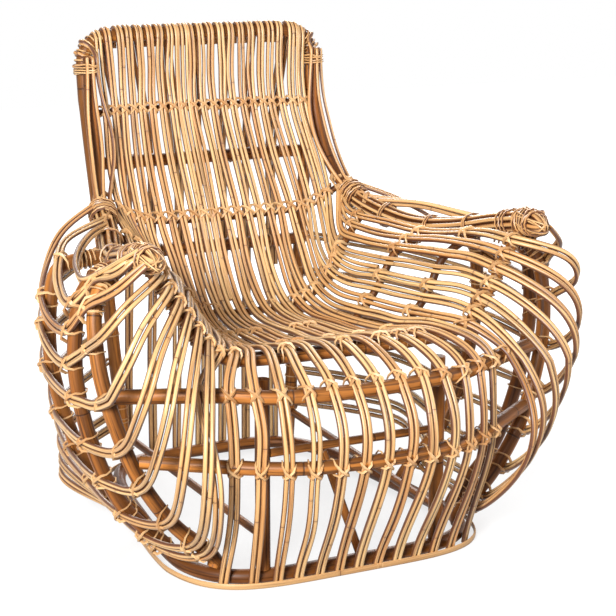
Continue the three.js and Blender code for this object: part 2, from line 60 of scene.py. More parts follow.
varnishLook = {"coatShare": 0.5, "coatRoughness": 0.35, "reliefDepth": 0.0006}
# Side shade is how far the painted shade darkens the sides of each tube; Dark serves the streaks, the growth
# rings and that painted shade
finishLook = {  # colours from 0 to 255, lengths in metres
    "cane": {"name": "paleCane", "Pale": (237, 198, 138), "Warm": (190, 122, 54), "Dark": (80, 32, 2),
             "Ring spacing": 0.36, "Ring width": 0.0008, "Streaks": 0.75, "Sides": 0.95,
             "bump": 0.5, "gloss": 0.6},
    "pole": {"name": "honeyPole", "Pale": (194, 124, 56), "Warm": (108, 56, 20), "Dark": (48, 23, 8),
             "Ring spacing": 0.30, "Ring width": 0.0016, "Streaks": 0.8, "Sides": 0.6,
             "bump": 0.9, "gloss": 0.2},
    # the rails lie under the canes and take a darker copy of the pole colours, which paints in part the shade
    # they lie in
    "rail": {"name": "brownRail", "Pale": (124, 73, 27), "Warm": (82, 43, 14), "Dark": (42, 19, 5),
             "Ring spacing": 0.28, "Ring width": 0.0014, "Streaks": 0.7, "Sides": 0.6,
             "bump": 0.9, "gloss": 0.2},
    "strip": {"name": "splitStrip", "Pale": (210, 168, 116), "Warm": (164, 112, 62), "Dark": (92, 52, 24),
              "Ring spacing": 0.5, "Ring width": 0.0009, "Streaks": 0.5, "Sides": 0.0,
              "bump": 0.6, "gloss": 0.3},
    "tie": {"name": "tieStrip", "Pale": (224, 184, 132), "Warm": (182, 128, 76), "Dark": (112, 64, 28),
            "Ring spacing": 0.6, "Ring width": 0.0007, "Streaks": 0.4, "Sides": 0.0,
            "bump": 0.4, "gloss": 0.35},
}


def addNode(tree, kind, place, **settings):
    node = tree.nodes.new(kind)
    node.location = place
    for key, value in settings.items():
        setattr(node, key, value)
    return node


def mathNode(tree, operation, place, *values):
    node = addNode(tree, "ShaderNodeMath", place, operation=operation)
    for socket, value in zip(node.inputs, values):
        if isinstance(value, (int, float)):
            socket.default_value = value
        else:
            tree.links.new(value, socket)
    return node.outputs[0]


def rangeNode(tree, place, value, edge, to=(0.0, 1.0), kind="SMOOTHSTEP"):
    node = addNode(tree, "ShaderNodeMapRange", place, interpolation_type=kind)
    for name, setting in zip(("From Min", "From Max", "To Min", "To Max"), (*edge, *to)):
        node.inputs[name].default_value = setting
    tree.links.new(value, node.inputs["Value"])
    return node.outputs[0]


def mixNode(tree, place, share, first, second):  # 6, 7 and 2 are the colour sockets of a mix node
    node = addNode(tree, "ShaderNodeMix", place, data_type="RGBA")
    tree.links.new(share, node.inputs["Factor"])
    tree.links.new(first, node.inputs[6])
    tree.links.new(second, node.inputs[7])
    return node.outputs[2]


def noiseNode(tree, place, point, scale, detail, roughness):
    node = addNode(tree, "ShaderNodeTexNoise", place)
    node.inputs["Scale"].default_value = scale
    node.inputs["Detail"].default_value = detail
    node.inputs["Roughness"].default_value = roughness
    tree.links.new(point, node.inputs["Vector"])
    return node.outputs["Fac"]


def pointNode(tree, place, *parts):  # each part is a value and its scale
    node = addNode(tree, "ShaderNodeCombineXYZ", place)
    for k, (socket, (value, scale)) in enumerate(zip(node.inputs, parts)):
        scaled = mathNode(tree, "MULTIPLY", (place[0] - 180, place[1] + 100 - 100 * k), value, scale)
        tree.links.new(scaled, socket)
    return node.outputs[0]


def makeFibreGroup():
    look = fibreLook
    group = bpy.data.node_groups.new("rattanFibre", "ShaderNodeTree")
    for name, kind in fibreInputs.items():
        group.interface.new_socket(name=name, in_out="INPUT", socket_type="NodeSocket" + kind)
    for name, kind in fibreOutputs.items():
        group.interface.new_socket(name=name, in_out="OUTPUT", socket_type="NodeSocket" + kind)
    links = group.links
    given = addNode(group, "NodeGroupInput", (-1400, 0))
    out = addNode(group, "NodeGroupOutput", (1200, 0))
    fibre = addNode(group, "ShaderNodeAttribute", (-1400, 300), attribute_name="fibre")
    tone = addNode(group, "ShaderNodeAttribute", (-1400, 500), attribute_name="tone").outputs["Fac"]
    parts = addNode(group, "ShaderNodeSeparateXYZ", (-1200, 300))
    links.new(fibre.outputs["Vector"], parts.inputs[0])
    along, outward, across = parts.outputs
    shifted = mathNode(group, "MULTIPLY_ADD", (-1200, 520), tone, look["toneShift"], along)
    dark = given.outputs["Dark"]

    # growth rings: one every spacing or so, never evenly
    spacing = given.outputs["Ring spacing"]
    cells = addNode(group, "ShaderNodeTexVoronoi", (-820, 520), voronoi_dimensions="1D")
    cells.inputs["Scale"].default_value = 1.0
    cells.inputs["Randomness"].default_value = look["ringRandom"]
    links.new(mathNode(group, "DIVIDE", (-1000, 520), shifted, spacing), cells.inputs["W"])
    apart = mathNode(group, "MULTIPLY", (-640, 520), cells.outputs["Distance"], spacing)
    near = mathNode(group, "DIVIDE", (-460, 520), apart, given.outputs["Ring width"])
    ring = rangeNode(group, (-280, 520), near, look["ringEdge"])
    halo = rangeNode(group, (-280, 760), near, look["haloEdge"])
    ringShare = mathNode(group, "MULTIPLY", (-60, 420), ring, look["ringShare"])
    haloShare = mathNode(group, "MULTIPLY", (-60, 600), halo, look["haloShare"])
    stain = mathNode(group, "MAXIMUM", (120, 500), ringShare, haloShare)

    # long streaks and slow colour drift along the cane
    streakPoint = pointNode(group, (-1000, 0), (shifted, look["streakAlong"]),
                            (outward, look["streakAround"]), (across, look["streakAround"]))
    streak = noiseNode(group, (-800, 0), streakPoint, *look["streakNoise"])
    driftPoint = pointNode(group, (-1000, -360), (shifted, look["driftAlong"]), (across, look["driftAround"]))
    drift = noiseNode(group, (-800, -260), driftPoint, *look["driftNoise"])
    drifted = mathNode(group, "MULTIPLY", (-620, -300), drift, look["driftShare"])
    toned = mathNode(group, "MULTIPLY_ADD", (-600, -160), tone, look["toneShare"], drifted)
    warmth = rangeNode(group, (-420, -160), toned, look["warmEdge"])
    body = mixNode(group, (-200, -100), warmth, given.outputs["Pale"], given.outputs["Warm"])
    lines = rangeNode(group, (-420, 60), streak, look["streakEdge"])
    streakShare = mathNode(group, "MULTIPLY", (-200, 100), lines, given.outputs["Streaks"])
    streaked = mixNode(group, (0, 0), streakShare, body, dark)
    ringed = mixNode(group, (300, 100), stain, streaked, dark)

    # painted shade: the sides of each tube, across from the faces it turns to, are mixed towards the dark
    # colour, standing in for the shade on its flanks and between neighbouring canes
    acrossShare = mathNode(group, "MULTIPLY", (-1000, 900), across, across)
    outwardShare = mathNode(group, "MULTIPLY", (-1000, 1060), outward, outward)
    whole = mathNode(group, "ADD", (-820, 1060), acrossShare, outwardShare)
    turned = mathNode(group, "DIVIDE", (-640, 960), acrossShare, whole)
    edge = rangeNode(group, (-460, 960), turned, look["sideEdge"])
    sideShadeShare = mathNode(group, "MULTIPLY", (300, 700), edge, given.outputs["Sides"])
    links.new(mixNode(group, (500, 200), sideShadeShare, ringed, dark), out.inputs["Color"])

    rough = rangeNode(group, (300, -200), streak, (0.0, 1.0), look["roughness"], "LINEAR")
    links.new(rough, out.inputs["Roughness"])
    streakHeight = mathNode(group, "MULTIPLY", (120, -420), streak, look["streakDepth"])
    height = mathNode(group, "MULTIPLY_ADD", (300, -420), ring, look["ringDepth"], streakHeight)
    links.new(height, out.inputs["Height"])
    return group


fibreGroup = makeFibreGroup()


def srgb(r, g, b):
    def linear(c):
        c /= 255
        return c / 12.92 if c <= 0.04045 else ((c + 0.055) / 1.055) ** 2.4
    return (linear(r), linear(g), linear(b), 1.0)


def makeRattan(look):
    material = bpy.data.materials.new(look["name"])
    material.use_nodes = True
    tree = material.node_tree
    shader = tree.nodes["Principled BSDF"]
    shader.inputs["Specular IOR Level"].default_value = look["gloss"]
    shader.inputs["Coat Weight"].default_value = varnishLook["coatShare"] * look["gloss"]
    shader.inputs["Coat Roughness"].default_value = varnishLook["coatRoughness"]
    group = addNode(tree, "ShaderNodeGroup", (-500, 100), node_tree=fibreGroup)
    for name, kind in fibreInputs.items():
        group.inputs[name].default_value = srgb(*look[name]) if kind == "Color" else look[name]
    relief = addNode(tree, "ShaderNodeBump", (-250, -200))
    relief.inputs["Strength"].default_value = look["bump"]
    relief.inputs["Distance"].default_value = varnishLook["reliefDepth"]
    tree.links.new(group.outputs["Color"], shader.inputs["Base Color"])
    tree.links.new(group.outputs["Roughness"], shader.inputs["Roughness"])
    tree.links.new(group.outputs["Height"], relief.inputs["Height"])
    tree.links.new(relief.outputs[0], shader.inputs["Normal"])
    return material


finishes = {finish: makeRattan(look) for finish, look in finishLook.items()}
print("materials made")

# tubes: every cane, pole and wrap is a bevelled curve that is made a mesh
up, front = Vector((0, 0, 1)), Vector((0, -1, 0))
chairMiddle = Vector((0, -0.04, 0.35))
tubeLook = {"toneTogether": 0.75, "smoothAngle": 50,
            "worn": up + 0.3 * front}  # the face that a tube given no faces turns to, for its fibre pattern
solidLook = {"corners": 8, "mergeGap": 2e-6}  # how the solids were swept
tiny = 1e-6


def deselectAll():
    bpy.ops.object.select_all(action="DESELECT")


def within(share):
    return min(1, max(0, share))


def somePhase():
    return dice.uniform(0, 6)  # radians, nearly a full turn


def ringsOf(name):  # cross-sections of a swept solid, from one end to the other
    solid = bmesh.new()
    solid.from_mesh(nodes[name].data)
    bmesh.ops.remove_doubles(solid, verts=solid.verts, dist=solidLook["mergeGap"])
    solid.verts.index_update()
    layer = [v for v in solid.verts if len(v.link_edges) == solidLook["corners"]][:1]
    seen = set(layer)
    rings = []
    while True:
        layer = {e.other_vert(v) for v in layer for e in v.link_edges} - seen
        if len(layer) < solidLook["corners"]:
            break
        layer = sorted(layer, key=lambda v: v.index)
        rings.append([v.co.copy() for v in layer])
        seen.update(layer)
    solid.free()
    return rings


def middleOf(ring):
    return sum(ring, Vector()) / len(ring)


def acrossOf(ring, like):  # the long way of a twin section
    pairs = [(a - b) for a in ring for b in ring]
    wide = max(pairs, key=lambda d: (round(d.length, 6), d.x, d.y, d.z)).normalized()
    return -wide if wide.dot(like) < 0 else wide


def smoothThrough(points, step):  # centripetal spline, sampled every step or so
    ends = [2 * points[0] - points[1], *points, 2 * points[-1] - points[-2]]
    line = [points[0].copy()]
    for k in range(1, len(ends) - 2):
        p = ends[k - 1:k + 3]
        t = [0.0]
        for a, b in zip(p, p[1:]):
            t.append(t[-1] + max((b - a).length, tiny) ** 0.5)
        count = max(1, math.ceil((p[2] - p[1]).length / step))
        for j in range(1, count + 1):
            s = t[1] + (t[2] - t[1]) * j / count
            a = [p[i].lerp(p[i + 1], (s - t[i]) / (t[i + 1] - t[i])) for i in range(3)]
            b = [a[i].lerp(a[i + 1], (s - t[i]) / (t[i + 2] - t[i])) for i in range(2)]
            line.append(b[0].lerp(b[1], (s - t[1]) / (t[2] - t[1])))
    return line


def relaxed(line, passes):  # takes small kinks out, ends stay
    for _ in range(passes):
        inner = [(a + b * 2 + c) / 4 for a, b, c in zip(line, line[1:], line[2:])]
        line = [line[0], *inner, line[-1]]
    return line


def relaxedWhere(line, passes, test):  # only the stretches that meet the test
    made = []
    for inside, run in itertools.groupby(line, key=test):
        run = list(run)
        made += relaxed(run, passes) if inside and len(run) > 2 else run
    return made


def lengthsAlong(line):
    marks = [0.0]
    for a, b in zip(line, line[1:]):
        marks.append(marks[-1] + (b - a).length)
    return marks


def aheadAt(line, k):
    return line[min(k + 1, len(line) - 1)] - line[max(k - 1, 0)]


def outFrom(line, axis):  # directions away from an axis, or from the middle of the chair
    return [p - min(axis, key=lambda q: (p - q).length) for p in line]


def bevelledMesh(name, lines, radius, sides, swell, closed):
    deselectAll()
    bpy.ops.curve.primitive_bezier_curve_add()
    curveObject = bpy.context.object
    curveObject.location = (0, 0, 0)
    curve = curveObject.data
    curve.splines.clear()
    curve.dimensions = "3D"
    curve.fill_mode = "FULL"
    curve.bevel_depth = radius
    curve.bevel_resolution = (sides - 4) // 2
    for n, line in enumerate(lines):
        spline = curve.splines.new("POLY")
        spline.points.add(len(line) - 1)
        spline.use_cyclic_u = closed
        for i, (point, co) in enumerate(zip(spline.points, line)):
            point.co = (*co, 1.0)
            point.radius = swell[n][i] if swell else 1.0
    bpy.ops.object.convert(target="MESH")
    piece = bpy.context.object
    piece.name = name
    piece.data.name = name
    assert len(piece.data.vertices) == sides * sum(map(len, lines)), (name, len(piece.data.vertices))
    return piece


def markFibre(piece, lines, sides, faces):  # length along the tube, which way a corner faces (for the streaks and the painted side shade), and a tone
    piece.data.attributes.new("fibre", "FLOAT_VECTOR", "POINT")
    piece.data.attributes.new("tone", "FLOAT", "POINT")
    values, tones = [], []
    together = tubeLook["toneTogether"]
    shared = dice.random()
    corners = iter(piece.data.vertices)
    for n, line in enumerate(lines):
        own = together * shared + (1 - together) * dice.random()
        for i, mark in enumerate(lengthsAlong(line)):
            ahead = aheadAt(line, i)
            across = ahead.cross(faces[n][i] if faces else tubeLook["worn"]).normalized()
            out = across.cross(ahead).normalized()
            for _ in range(sides):
                spoke = (next(corners).co - line[i]).normalized()
                values += [mark, spoke.dot(out), spoke.dot(across)]
                tones.append(own)
    piece.data.attributes["fibre"].data.foreach_set("vector", values)
    piece.data.attributes["tone"].data.foreach_set("value", tones)


def makeTubes(name, lines, radius, sides, finish, swell=None, closed=False, faces=None):
    piece = bevelledMesh(name, lines, radius, sides, swell, closed)
    markFibre(piece, lines, sides, faces)
    if not closed:
        bpy.ops.object.mode_set(mode="EDIT")
        bpy.ops.mesh.select_all(action="SELECT")
        bpy.ops.mesh.fill_holes(sides=sides)
        bpy.ops.mesh.normals_make_consistent(inside=False)
        bpy.ops.object.mode_set(mode="OBJECT")
    bpy.ops.object.shade_smooth_by_angle(angle=math.radians(tubeLook["smoothAngle"]))
    piece.data.materials.clear()
    piece.data.materials.append(finishes[finish])
    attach(piece, "root")
    return piece


# poles and rails, each along its own solid
poleLook = {"step": 0.012, "fineStep": 0.006, "sides": 12, "radius": 0.012, "swell": 0.05,
            "swellEvery": 0.25, "swellTurn": 6.28, "swellSharp": 12}
slimRadii = {"crown_rail": 0.009, "leg_stretcher": 0.007, "side_stretcher": 0.007, "inner_strut": 0.007,
             "back_rail": 0.006, "lumbar_rail": 0.006, "crease_rail": 0.007, "seat_rail": 0.007,
             "middle_stretcher": 0.011, "arm_pole": 0.011}  # poles and rails slimmer than the rest
railNames = ("back_rail", "lumbar_rail", "crease_rail", "seat_rail")
armLook = {"tipLength": 0.03, "tipShare": 0.6, "lift": 0.012, "liftLength": 0.1, "cut": 0.018}


def startsWithAny(name, starts):
    return next((s for s in starts if name.startswith(s)), None)


def knobbly(line):  # a little thicker at the growth rings
    look, phase = poleLook, somePhase()
    waves = [math.sin(m / look["swellEvery"] * look["swellTurn"] + phase) for m in lengthsAlong(line)]
    return [1 + look["swell"] * max(0, wave) ** look["swellSharp"] for wave in waves]


def frontOf(line):
    return min(line, key=lambda p: p.y)


def tipped(line, swell):  # arm poles end in a rounded tip at the front
    tip, least = frontOf(line), armLook["tipShare"]
    grown = [math.sqrt((p - tip).length / armLook["tipLength"]) for p in line]
    return [s * min(1, least + (1 - least) * g) for s, g in zip(swell, grown)]


def lifted(line):  # the front of the arm is cut short under its wraps and stands up a little
    tip = frontOf(line)
    kept = [p for p in line if (p - tip).length >= armLook["cut"]]
    shares = [max(0, 1 - (p - tip).length / armLook["liftLength"]) ** 2 for p in kept]
    return [p + up * (armLook["lift"] * share) for p, share in zip(kept, shares)]


poleLines, poleRadii = {}, {}
for name in sorted(nodes):
    if startsWithAny(name, ("strand_", "rib_", "arm_canes", "base_")):
        continue
    ringMiddles = [middleOf(r) for r in ringsOf(name)]
    line = smoothThrough(ringMiddles, poleLook["step"])
    poleLines[name] = ringMiddles
    poleRadii[name] = slimRadii.get(startsWithAny(name, slimRadii), poleLook["radius"])
    # rails take the darker rail colours, in part painted shade
    finish = "rail" if startsWithAny(name, railNames) else "pole"
    if name.startswith("arm_pole"):
        line = lifted(line)
        swell = tipped(line, knobbly(line))
    else:
        swell = knobbly(line)
    pole = makeTubes("round_" + name, [line], poleRadii[name], poleLook["sides"], finish, [swell],
                     faces=[outFrom(line, [chairMiddle])])
    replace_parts(pole, name)
print("poles made:", len(poleLines))

# base hoop and the split strip round it, on the oval of the solids
ovalLook = {"halfWidth": 0.288, "rearHalfWidth": 0.228, "front": -0.2, "rear": 0.487, "widest": -0.06,
            "power": 4.5, "hoopInset": 0.0246, "hoopRadius": 0.012, "stripThick": 0.004, "stripHigh": 0.010,
            "cuts": 220}
shiftY = -ovalLook["front"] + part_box("base_edge_strip")[0].y


def oval(inset, z):
    look = ovalLook
    middle, half = (look["front"] + look["rear"]) / 2, (look["rear"] - look["front"]) / 2

    def bend(v):
        return math.copysign(abs(v) ** (2 / look["power"]), v)
    line = []
    for k in range(look["cuts"]):
        turn = 2 * math.pi * (k + 0.5) / look["cuts"]
        y = middle - (half - inset) * bend(math.cos(turn))
        back = max(0, (y - look["widest"]) / (look["rear"] - look["widest"]))
        wide = look["halfWidth"] + back * (look["rearHalfWidth"] - look["halfWidth"])
        line.append(Vector(((wide - inset) * bend(math.sin(turn)), y + shiftY, z)))
    return line


def evenly(line, step):  # the same closed line with even steps
    loop = line + line[:1]
    marks = lengthsAlong(loop)
    count = round(marks[-1] / step)
    even, k = [], 0
    for n in range(count):
        want = marks[-1] * n / count
        while marks[k + 1] < want:
            k += 1
        even.append(loop[k].lerp(loop[k + 1], (want - marks[k]) / (marks[k + 1] - marks[k])))
    return even


hoopLine = evenly(oval(ovalLook["hoopInset"], ovalLook["hoopRadius"]), poleLook["step"])
hoop = makeTubes("round_base_hoop", [hoopLine], ovalLook["hoopRadius"], poleLook["sides"], "pole",
                 closed=True, faces=[outFrom(hoopLine, [chairMiddle])])
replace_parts(hoop, "base_hoop")
stripLine = evenly(oval(ovalLook["stripThick"] / 2, ovalLook["stripHigh"] / 2), poleLook["step"])
strip = makeTubes("split_base_strip", [stripLine], ovalLook["stripThick"] / 2, poleLook["sides"], "strip",
                  closed=True)
bpy.ops.object.mode_set(mode="EDIT")
bpy.ops.mesh.select_all(action="SELECT")
tall = ovalLook["stripHigh"] / ovalLook["stripThick"]
bpy.ops.transform.resize(value=(1, 1, tall), center_override=(0, 0, ovalLook["stripHigh"] / 2))
bpy.ops.object.mode_set(mode="OBJECT")
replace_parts(strip, "base_edge_strip")
print("base made")

# canes: two round canes for each pair, on some of the back's pairs a third
caneLook = {"radius": 0.0043, "sides": 8, "step": 0.009, "apart": 1.03, "spread": 0.16, "wander": 0.0036,
            "lift": 0.0008, "archLength": 0.11, "leastSpan": 1e-4, "thickVary": 0.08, "ripple": 0.02,
            "rippleRate": 17, "touch": 0.004}
easeLook = {"relax": 3, "relaxUnder": 0.74, "relaxMore": 13, "frontBelow": 0.335, "frontMore": 40}
slimLook = {"from": 0.36, "over": 0.14, "depth": 0.08, "share": 0.17}
thirdLook = {"strandTop": 0.7, "share": 0.16, "down": 0.36, "beside": 2.8}
knotLook = {"height": 0.528, "reach": 0.016, "strandTop": 0.65, "lean": 0.4, "bendShare": 0.6,
            "bendIn": 0.006, "bendDown": 0.01}


def segmentGap(a, b, c, d):  # closest places on two straight lengths
    u, v, w = b - a, d - c, a - c
    uu, uv, vv, uw, vw = u.dot(u), u.dot(v), v.dot(v), u.dot(w), v.dot(w)
    det = uu * vv - uv * uv
    s = within((uv * vw - vv * uw) / det) if det > tiny ** 2 else 0.0
    t = (uv * s + vw) / vv
    if t < 0 or t > 1:
        t = within(t)
        s = within((uv * t - uw) / uu)
    return a + u * s, c + v * t, s


def crossingsOf(line):  # where a cane line touches poles
    marks = lengthsAlong(line)
    found = []
    for name, pole in poleLines.items():
        best, least = None, math.inf
        for i, (a, b) in enumerate(zip(line, line[1:])):
            for c, d in zip(pole, pole[1:]):
                p, q, s = segmentGap(a, b, c, d)
                if (p - q).length < least:
                    least = (p - q).length
                    mark = marks[i] + s * (marks[i + 1] - marks[i])
                    best = {"pole": name, "mark": mark, "at": p, "from": q, "axis": (d - c).normalized(),
                            "along": (b - a).normalized()}
        if least < poleRadii[name] + caneLook["radius"] + caneLook["touch"]:
            found.append(best)
    return sorted(found, key=lambda c: c["mark"])


def slidTo(line, crossing):  # a tie slides along its pole to the eased cane
    near = min(line, key=lambda p: (p - crossing["at"]).length)
    slide = crossing["axis"] * crossing["axis"].dot(near - crossing["at"])
    return {**crossing, "at": crossing["at"] + slide, "from": crossing["from"] + slide}


def slim(p):  # the canes thin out towards the top of the back
    rise = (p.z - slimLook["from"]) / slimLook["over"]
    return 1 - slimLook["share"] * within(rise) * within(p.y / slimLook["depth"])


def pairLines(line, sides, crossings):  # the two canes, and which way each of their points faces
    look, marks = caneLook, lengthsAlong(line)
    stops = sorted({0.0, *[c["mark"] for c in crossings], marks[-1]})
    spans = []
    for a, b in zip(stops, stops[1:]):
        if b - a > look["leastSpan"]:
            spread, bow = dice.uniform(0, look["spread"]), dice.uniform(-1, 1)
            spans.append((a, b, spread, bow, (dice.uniform(-1, 1), dice.uniform(-1, 1))))
    made, outs = [[], []], []
    for k, (p, side, mark) in enumerate(zip(line, sides, marks)):
        a, b, spread, bow, lifts = next((s for s in spans if s[0] <= mark <= s[1]), spans[-1])
        arch = math.sin(math.pi * within((mark - a) / (b - a))) ** 2 * min(1, (b - a) / look["archLength"])
        out = aheadAt(line, k).normalized().cross(side)
        outs.append(out)
        middle = p + side * (bow * look["wander"] * arch)
        reach = slim(p) * look["radius"] * (look["apart"] + spread * arch)
        for cane, sign, lift in zip(made, (1, -1), lifts):
            cane.append(middle + side * (sign * reach) + out * (lift * look["lift"] * arch))
    return made, [outs, outs]


def thickFor(line):
    base = 1 + dice.uniform(-caneLook["thickVary"], caneLook["thickVary"])
    phase = somePhase()
    waves = [math.sin(m * caneLook["rippleRate"] + phase) for m in lengthsAlong(line)]
    return [base * slim(p) * (1 + caneLook["ripple"] * wave) for p, wave in zip(line, waves)]


def fromKnot(middles, sides):  # the strands under the arm come down from the knot at the back
    arm = poleLines["arm_pole_left" if middles[0].x > 0 else "arm_pole_right"]
    knot = min(arm, key=lambda p: abs(p.z - knotLook["height"]) + (1 if p.y < 0 else 0))
    if (middles[-1] - knot).length < (middles[0] - knot).length:
        middles, sides = middles[::-1], sides[::-1]
    inward = Vector((-math.copysign(1, knot.x), -knotLook["lean"], 0)).normalized()
    top = knot + inward * knotLook["reach"]
    bend = top.lerp(middles[0], knotLook["bendShare"])
    bend += inward * knotLook["bendIn"] - up * knotLook["bendDown"]
    return [top, bend, *middles], [sides[0], sides[0], *sides]


def sidesAlong(line, middles, sides):  # the long way of the twin section, at every point of the smooth line
    marks = lengthsAlong(line)
    ends = [marks[min(range(len(line)), key=lambda i: (line[i] - m).length)] for m in middles]
    made, k = [], 0
    for mark in marks:
        while k < len(middles) - 2 and mark > ends[k + 1]:
            k += 1
        share = within((mark - ends[k]) / max(tiny, ends[k + 1] - ends[k]))
        made.append(sides[k].lerp(sides[k + 1], share).normalized())
    return made


def topOf(line):
    return max(p.z for p in line)


allCrossings = {}
for name in sorted(nodes):
    if not startsWithAny(name, ("strand_", "rib_")):
        continue
    rings = ringsOf(name)
    middles = [middleOf(r) for r in rings]
    sides = []
    for ring in rings:
        sides.append(acrossOf(ring, sides[-1] if sides else Vector((1, 0, 0))))
    if name.startswith("strand_") and topOf(middles) < knotLook["strandTop"]:
        middles, sides = fromKnot(middles, sides)
    line = relaxed(smoothThrough(middles, caneLook["step"]), easeLook["relax"])
    line = relaxedWhere(line, easeLook["relaxMore"], lambda p: p.z < easeLook["relaxUnder"])
    line = relaxedWhere(line, easeLook["frontMore"], lambda p: p.z < easeLook["frontBelow"] and p.y < 0)
    fineSides = sidesAlong(line, middles, sides)
    crossings = [slidTo(line, c) for c in crossingsOf(middles)]
    allCrossings[name] = crossings
    canes, outs = pairLines(line, fineSides, crossings)
    if topOf(line) > thirdLook["strandTop"] and dice.random() < thirdLook["share"]:
        beside = dice.choice((1, -1)) * thirdLook["beside"] * caneLook["radius"]
        onBack = [k for k, p in enumerate(line) if p.z > thirdLook["down"] and p.y > 0]
        third = slice(onBack[0], onBack[-1] + 1)
        canes.append([p + side * beside for p, side in zip(line[third], fineSides[third])])
        outs.append(outs[0][third])
    piece = makeTubes("canes_" + name, canes, caneLook["radius"], caneLook["sides"], "cane",
                      [thickFor(c) for c in canes], faces=outs)
    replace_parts(piece, name)
print("cane pairs made:", len(allCrossings))

# ties: one crossed lashing modelled for each pole thickness, then copied to the crossings that are tied
tieLook = {"radius": 0.0025, "sides": 4, "off": 0.7, "onCanes": 0.4, "beside": 0.8,
           "shoulder": (1.5, 0.6, 0.7), "lean": 0.9, "leastDown": 0.009, "thinLow": -0.4, "behind": 0.55,
           "behindWide": 0.9, "behindTurns": (1.6, 2.4, math.pi, 3.9, 4.7), "endSwell": 0.8, "vary": 0.06,
           "turn": 0.1, "leastSlant": 0.55, "fanFrom": 0.2, "legBelow": 0.7}
tieShare = {"back_hoop": 0, "crown_rail": 0.35, "seat_rail_front": 0.45, "seat_rail_rear": 0.6,
            "crease_rail": 0.5}  # on the poles not named here every crossing is tied


def tieLine(poleRadius):  # x across the canes, y along them, z away from the pole
    look, r, t = tieLook, caneLook["radius"], tieLook["radius"]
    reach, behind = poleRadius + look["off"] * t, poleRadius + look["behind"] * t
    middle = -(r + poleRadius)
    wide, onTop = 2 * r + look["beside"] * t, look["onCanes"] * t
    down, low = reach * math.sin(look["lean"]), middle + reach * math.cos(look["lean"])
    if down < look["leastDown"]:  # on a thin rail the cross is longer than the rail is thick
        down, low = look["leastDown"], look["thinLow"] * r
    x, y, z = look["shoulder"]
    shoulder = (x * r, y * down, z * r + onTop)
    half = [(-wide, -down, low), (-shoulder[0], -shoulder[1], shoulder[2]), (0, 0, r + onTop), shoulder,
            (wide, down, low)]
    for turn in look["behindTurns"]:
        half.append((look["behindWide"] * wide, behind * math.sin(turn), middle + behind * math.cos(turn)))
    over = [(-x, y, z + (look["off"] * t if z > 0 else 0)) for x, y, z in half]
    return [Vector(p) for p in half + over]


def makeTie(poleRadius):
    end = tieLook["endSwell"]
    swell = [end, 1, 1, 1, end] + [tieLook["behind"]] * len(tieLook["behindTurns"])
    return makeTubes("tie_" + str(round(poleRadius * 1000)), [tieLine(poleRadius)], tieLook["radius"],
                     tieLook["sides"], "tie", [swell * 2], closed=True)


def placeTie(tie, crossing, name):
    out = (crossing["at"] - crossing["from"]).normalized()
    along = (crossing["along"] - out * crossing["along"].dot(out)).normalized()
    across = along.cross(out)
    axis = (crossing["axis"] - out * crossing["axis"].dot(out)).normalized()
    axis = axis if axis.dot(across) > 0 else -axis
    slant = max(tieLook["leastSlant"], axis.dot(across))  # a slanting cane needs a longer tie
    size = 1 + dice.uniform(-tieLook["vary"], tieLook["vary"])
    turn = Matrix.Rotation(dice.uniform(-tieLook["turn"], tieLook["turn"]), 4, "Z")
    skew = turn @ Matrix.Diagonal((size, 1, 1, 1))
    slanted = Matrix((axis / slant, along / slant, out)).transposed().to_4x4()
    copy = tie.copy()
    copy.data = tie.data.copy()
    copy.name = name
    copy.data.transform(Matrix.Translation(crossing["at"]) @ slanted @ skew)
    copy.data.attributes["tone"].data.foreach_set("value", [dice.random()] * len(copy.data.vertices))
    bpy.context.scene.collection.objects.link(copy)
    return copy


ties = {}
byPole = {}
for crossing in itertools.chain.from_iterable(allCrossings.values()):
    inFan = crossing["pole"] == "crown_rail" and abs(crossing["at"].x) > tieLook["fanFrom"]
    onLeg = crossing["pole"] == "back_hoop" and crossing["at"].z < tieLook["legBelow"]
    if inFan or onLeg or dice.random() < tieShare.get(crossing["pole"], 1):
        byPole.setdefault(crossing["pole"], []).append(crossing)
for poleName in sorted(byPole):
    radius = poleRadii[poleName]
    if radius not in ties:
        ties[radius] = makeTie(radius)
    copies = [placeTie(ties[radius], c, f"tie_{poleName}_{n}") for n, c in enumerate(byPole[poleName])]
    deselectAll()
    for copy in copies:
        copy.select_set(True)
    bpy.context.view_layer.objects.active = copies[0]
    if len(copies) > 1:
        bpy.ops.object.join()
    copies[0].name = "ties_" + poleName
    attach(copies[0], "root")
for tie in ties.values():
    bpy.data.objects.remove(tie)
print("ties placed:", sum(map(len, byPole.values())))

# loose canes laid along the poles, at angles round them
laidLook = {"turnRate": 1.6, "turnStart": 0.3, "leastCuts": 4, "noseNear": 0.01,
            "nose": ((0.72, 0.007), (0.3, 0.013)), "drawIn": 0.4, "drawLength": 0.03}
edgeLook = {"angles": (-0.5, 0.1, 0.75), "bow": 0.012, "bowMore": 0.5, "start": 0.004, "pastKnot": 0.02}
armCaneLook = {"beforeKnot": 0.02, "beforeTip": 0.006, "pair": (-0.36, 0.36), "under": (-2.4, 2.4, 3.1),
               "flanks": (-1.75, -1.1, 1.1, 1.75), "underLength": 0.13}
cornerLook = {"x": 0.19, "z": 0.745, "middle": 0.8, "hooks": (0.25, 0.5, 0.75), "tail": 0.02,
              "behind": (0.8, 0.6), "over": 0.3, "turns": 11}
ribLook = {"facing": (0.3, 0.2, 1.0),
           "points": ((0.262, 0.235, 0.517), (0.310, 0.170, 0.518), (0.345, 0.120, 0.509),
                      (0.378, 0.050, 0.498), (0.392, 0.000, 0.490), (0.396, -0.040, 0.487),
                      (0.388, -0.090, 0.505), (0.372, -0.135, 0.530), (0.350, -0.165, 0.552))}


